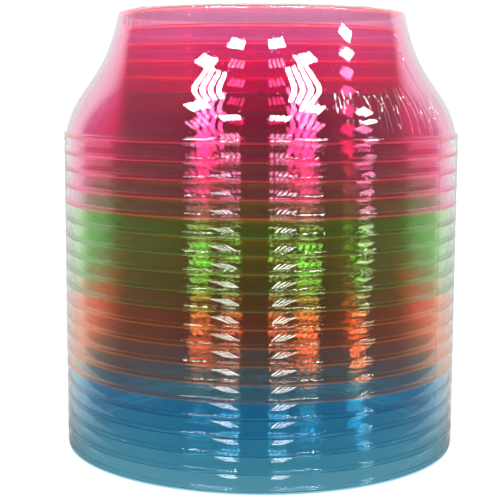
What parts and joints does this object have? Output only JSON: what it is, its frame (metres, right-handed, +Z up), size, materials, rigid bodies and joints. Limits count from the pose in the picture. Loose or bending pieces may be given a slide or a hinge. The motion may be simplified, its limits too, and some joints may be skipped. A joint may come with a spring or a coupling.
{
  "type": "nested party bowl pack",
  "caption": "Stack of thin clear coloured plastic bowls, nested upside down one over the next and held in a sleeve of clear shrink film.",
  "frame": {"origin": "centre of the lowest bowl's rim, on the surface the pack stands on", "axes": "+Z up along the stack's axis, from the lowest rim to the uppermost base"},
  "size_m": [0.128, 0.128, 0.14],
  "materials": {
    "pink_plastic": "clear fluorescent polystyrene, high gloss",
    "green_plastic": "clear fluorescent polystyrene, high gloss",
    "orange_plastic": "clear fluorescent polystyrene, high gloss",
    "blue_plastic": "clear tinted polystyrene, high gloss",
    "clear_film": "clear shrink film, glossy, lightly wrinkled"
  },
  "bodies": {
    "pink_bowl_1": {"pink_bowl_1": "pink_plastic"},
    "pink_bowl_2": {"pink_bowl_2": "pink_plastic"},
    "pink_bowl_3": {"pink_bowl_3": "pink_plastic"},
    "pink_bowl_4": {"pink_bowl_4": "pink_plastic"},
    "pink_bowl_5": {"pink_bowl_5": "pink_plastic"},
    "green_bowl_1": {"green_bowl_1": "green_plastic"},
    "green_bowl_2": {"green_bowl_2": "green_plastic"},
    "green_bowl_3": {"green_bowl_3": "green_plastic"},
    "green_bowl_4": {"green_bowl_4": "green_plastic"},
    "green_bowl_5": {"green_bowl_5": "green_plastic"},
    "orange_bowl_1": {"orange_bowl_1": "orange_plastic"},
    "orange_bowl_2": {"orange_bowl_2": "orange_plastic"},
    "orange_bowl_3": {"orange_bowl_3": "orange_plastic"},
    "orange_bowl_4": {"orange_bowl_4": "orange_plastic"},
    "orange_bowl_5": {"orange_bowl_5": "orange_plastic"},
    "blue_bowl_1": {"blue_bowl_1": "blue_plastic"},
    "blue_bowl_2": {"blue_bowl_2": "blue_plastic"},
    "blue_bowl_3": {"blue_bowl_3": "blue_plastic"},
    "blue_bowl_4": {"blue_bowl_4": "blue_plastic"},
    "blue_bowl_5": {"blue_bowl_5": "blue_plastic"},
    "film": {"shrink_film": "clear_film"}
  },
  "joints": [
    {"name": "blue_bowl_4_lift", "type": "slide", "parent": "blue_bowl_5", "child": "blue_bowl_4", "axis": [0, 0, 1], "range_m": [0, 0.04]},
    {"name": "blue_bowl_3_lift", "type": "slide", "parent": "blue_bowl_4", "child": "blue_bowl_3", "axis": [0, 0, 1], "range_m": [0, 0.04]},
    {"name": "blue_bowl_2_lift", "type": "slide", "parent": "blue_bowl_3", "child": "blue_bowl_2", "axis": [0, 0, 1], "range_m": [0, 0.04]},
    {"name": "blue_bowl_1_lift", "type": "slide", "parent": "blue_bowl_2", "child": "blue_bowl_1", "axis": [0, 0, 1], "range_m": [0, 0.04]},
    {"name": "orange_bowl_5_lift", "type": "slide", "parent": "blue_bowl_1", "child": "orange_bowl_5", "axis": [0, 0, 1], "range_m": [0, 0.04]},
    {"name": "orange_bowl_4_lift", "type": "slide", "parent": "orange_bowl_5", "child": "orange_bowl_4", "axis": [0, 0, 1], "range_m": [0, 0.04]},
    {"name": "orange_bowl_3_lift", "type": "slide", "parent": "orange_bowl_4", "child": "orange_bowl_3", "axis": [0, 0, 1], "range_m": [0, 0.04]},
    {"name": "orange_bowl_2_lift", "type": "slide", "parent": "orange_bowl_3", "child": "orange_bowl_2", "axis": [0, 0, 1], "range_m": [0, 0.04]},
    {"name": "orange_bowl_1_lift", "type": "slide", "parent": "orange_bowl_2", "child": "orange_bowl_1", "axis": [0, 0, 1], "range_m": [0, 0.04]},
    {"name": "green_bowl_5_lift", "type": "slide", "parent": "orange_bowl_1", "child": "green_bowl_5", "axis": [0, 0, 1], "range_m": [0, 0.04]},
    {"name": "green_bowl_4_lift", "type": "slide", "parent": "green_bowl_5", "child": "green_bowl_4", "axis": [0, 0, 1], "range_m": [0, 0.04]},
    {"name": "green_bowl_3_lift", "type": "slide", "parent": "green_bowl_4", "child": "green_bowl_3", "axis": [0, 0, 1], "range_m": [0, 0.04]},
    {"name": "green_bowl_2_lift", "type": "slide", "parent": "green_bowl_3", "child": "green_bowl_2", "axis": [0, 0, 1], "range_m": [0, 0.04]},
    {"name": "green_bowl_1_lift", "type": "slide", "parent": "green_bowl_2", "child": "green_bowl_1", "axis": [0, 0, 1], "range_m": [0, 0.04]},
    {"name": "pink_bowl_5_lift", "type": "slide", "parent": "green_bowl_1", "child": "pink_bowl_5", "axis": [0, 0, 1], "range_m": [0, 0.04]},
    {"name": "pink_bowl_4_lift", "type": "slide", "parent": "pink_bowl_5", "child": "pink_bowl_4", "axis": [0, 0, 1], "range_m": [0, 0.04]},
    {"name": "pink_bowl_3_lift", "type": "slide", "parent": "pink_bowl_4", "child": "pink_bowl_3", "axis": [0, 0, 1], "range_m": [0, 0.04]},
    {"name": "pink_bowl_2_lift", "type": "slide", "parent": "pink_bowl_3", "child": "pink_bowl_2", "axis": [0, 0, 1], "range_m": [0, 0.04]},
    {"name": "pink_bowl_1_lift", "type": "slide", "parent": "pink_bowl_2", "child": "pink_bowl_1", "axis": [0, 0, 1], "range_m": [0, 0.04]},
    {"name": "film_pull_off", "type": "slide", "parent": "pink_bowl_1", "child": "film", "axis": [0, 0, 1], "range_m": [0, 0.145]}
  ]
}
